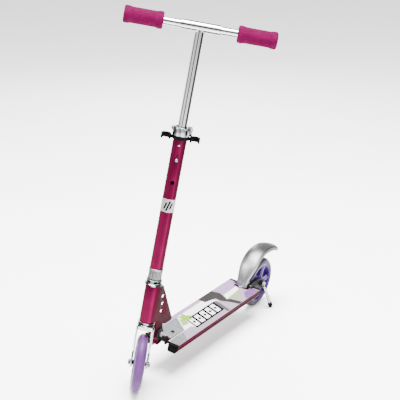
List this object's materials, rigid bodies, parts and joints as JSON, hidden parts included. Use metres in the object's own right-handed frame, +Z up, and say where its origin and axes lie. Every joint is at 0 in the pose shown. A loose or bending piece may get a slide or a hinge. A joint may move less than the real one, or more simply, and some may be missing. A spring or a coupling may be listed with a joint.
{
  "type": "kick scooter",
  "caption": "Child's folding kick scooter with a telescopic T-bar, foam grips, a fender brake and a kickstand, resting on its stand with the bars turned left.",
  "frame": {"origin": "centre of the bottom of the box round the standing scooter", "axes": "+Z up, -Y forward along the deck, +X to the scooter's left"},
  "size_m": [0.3254, 0.7562, 0.9443],
  "materials": {
    "magenta_paint": "glossy metallic",
    "chrome_plate": "polished",
    "silver_metal": "satin",
    "zinc_steel": "satin",
    "dark_steel": "satin black",
    "black_plastic": "moulded",
    "magenta_foam": "closed-cell foam, matt",
    "printed_grip": "printed sandpaper-like sheet",
    "lavender_urethane": "translucent",
    "grey_urethane": "translucent",
    "purple_plastic": "smooth"
  },
  "bodies": {
    "deck": {"deck_platform": "magenta_paint", "grip_sheet": "printed_grip", "rail_plug_front_left": "black_plastic", "rail_plug_front_right": "black_plastic", "rail_plug_rear_left": "black_plastic", "rail_plug_rear_right": "black_plastic", "plug_screw_left": "dark_steel", "plug_screw_right": "dark_steel", "hinge_bracket": "dark_steel", "hinge_cover_plate": "silver_metal", "hinge_screw": "dark_steel", "fold_skewer": "zinc_steel", "fold_skewer_nut": "zinc_steel", "rear_bracket": "dark_steel", "rear_axle_bolt": "zinc_steel", "rear_axle_nut": "zinc_steel", "brake_pivot_pin": "zinc_steel", "brake_spring": "zinc_steel", "kickstand_bracket": "dark_steel", "kickstand_pivot_bolt": "zinc_steel"},
    "head": {"head_tube": "magenta_paint", "head_gusset": "magenta_paint", "fold_tongue": "magenta_paint", "lower_headset_cup": "silver_metal", "upper_headset_cup": "silver_metal"},
    "fold_release": {"fold_lever": "dark_steel"},
    "steering": {"fork": "silver_metal", "steerer_tube": "zinc_steel", "front_axle_bolt": "zinc_steel", "front_axle_nut": "zinc_steel", "lower_stem_tube": "magenta_paint", "stem_sleeve": "black_plastic", "stem_collar": "silver_metal", "collar_bolt_left": "dark_steel", "collar_bolt_middle": "dark_steel", "collar_bolt_right": "dark_steel", "handle_clip": "black_plastic", "stem_clamp": "chrome_plate", "clamp_skewer": "chrome_plate"},
    "clamp_release": {"clamp_lever": "chrome_plate"},
    "upper_stem": {"upper_stem_tube": "chrome_plate"},
    "height_button": {"height_snap_clip": "silver_metal"},
    "left_handle": {"left_handle_bar": "chrome_plate", "left_grip": "magenta_foam"},
    "right_handle": {"right_handle_bar": "chrome_plate", "right_grip": "magenta_foam"},
    "left_button": {"left_snap_clip": "silver_metal"},
    "right_button": {"right_snap_clip": "silver_metal"},
    "front_wheel": {"front_tyre": "lavender_urethane", "front_hub": "lavender_urethane", "front_bearing_left": "zinc_steel", "front_bearing_right": "zinc_steel"},
    "rear_wheel": {"rear_tyre": "grey_urethane", "rear_hub": "purple_plastic", "rear_bearing_left": "zinc_steel", "rear_bearing_right": "zinc_steel"},
    "brake": {"fender": "silver_metal"},
    "kickstand": {"kickstand_leg": "silver_metal", "kickstand_foot": "black_plastic"}
  },
  "joints": [
    {"name": "stem_fold", "type": "hinge", "parent": "deck", "child": "head", "pos_m": [-0.10548, -0.23601, 0.12355], "axis": [-0.99, 0, 0.1409], "range_deg": [0, 74]},
    {"name": "fold_lever_hinge", "type": "hinge", "parent": "deck", "child": "fold_release", "pos_m": [-0.12379, -0.23601, 0.12616], "axis": [0.0869, -0.7872, 0.6105], "range_deg": [0, 100]},
    {"name": "steering_hinge", "type": "hinge", "parent": "head", "child": "steering", "pos_m": [-0.11272, -0.30257, 0.07265], "axis": [0.1398, 0.1249, 0.9823], "range_deg": [-121.3, 58.7]},
    {"name": "front_wheel_spin", "type": "hinge", "parent": "steering", "child": "front_wheel", "pos_m": [-0.10586, -0.31414, 0.07145], "axis": [0.8368, 0.5155, -0.1846], "continuous": true},
    {"name": "rear_wheel_spin", "type": "hinge", "parent": "deck", "child": "rear_wheel", "pos_m": [-0.11283, 0.30593, 0.07187], "axis": [0.99, 0, -0.1409], "continuous": true},
    {"name": "height_slide", "type": "slide", "parent": "steering", "child": "upper_stem", "axis": [0.1398, 0.1249, 0.9823], "range_m": [-0.18, 0], "deforming": ["height_snap_clip"]},
    {"name": "clamp_lever_hinge", "type": "hinge", "parent": "steering", "child": "clamp_release", "pos_m": [-0.02796, -0.1982, 0.64593], "axis": [0.1398, 0.1249, 0.9823], "range_deg": [0, 110]},
    {"name": "height_button_press", "type": "slide", "parent": "upper_stem", "child": "height_button", "axis": [-0.5294, 0.8478, -0.0325], "range_m": [0, 0.0044], "stiffness_N_per_m": 1500},
    {"name": "left_handle_slide", "type": "slide", "parent": "upper_stem", "child": "left_handle", "axis": [0.8368, 0.5155, -0.1846], "range_m": [0, 0.035], "deforming": ["left_snap_clip"]},
    {"name": "right_handle_slide", "type": "slide", "parent": "upper_stem", "child": "right_handle", "axis": [-0.8368, -0.5155, 0.1846], "range_m": [0, 0.035], "deforming": ["right_snap_clip"]},
    {"name": "left_button_press", "type": "slide", "parent": "left_handle", "child": "left_button", "axis": [0.1398, 0.1249, 0.9823], "range_m": [0, 0.0033], "stiffness_N_per_m": 900},
    {"name": "right_button_press", "type": "slide", "parent": "right_handle", "child": "right_button", "axis": [0.1398, 0.1249, 0.9823], "range_m": [0, 0.0033], "stiffness_N_per_m": 900},
    {"name": "brake_press", "type": "hinge", "parent": "deck", "child": "brake", "pos_m": [-0.10993, 0.22495, 0.09227], "axis": [-0.99, 0, 0.1409], "range_deg": [0, 20], "stiffness_Nm_per_rad": 3, "springref_deg": -8.02},
    {"name": "kickstand_swing", "type": "hinge", "parent": "deck", "child": "kickstand", "pos_m": [-0.0849, 0.29094, 0.0765], "axis": [0.9995, 0.0002, 0.0314], "range_deg": [0, 100]}
  ]
}
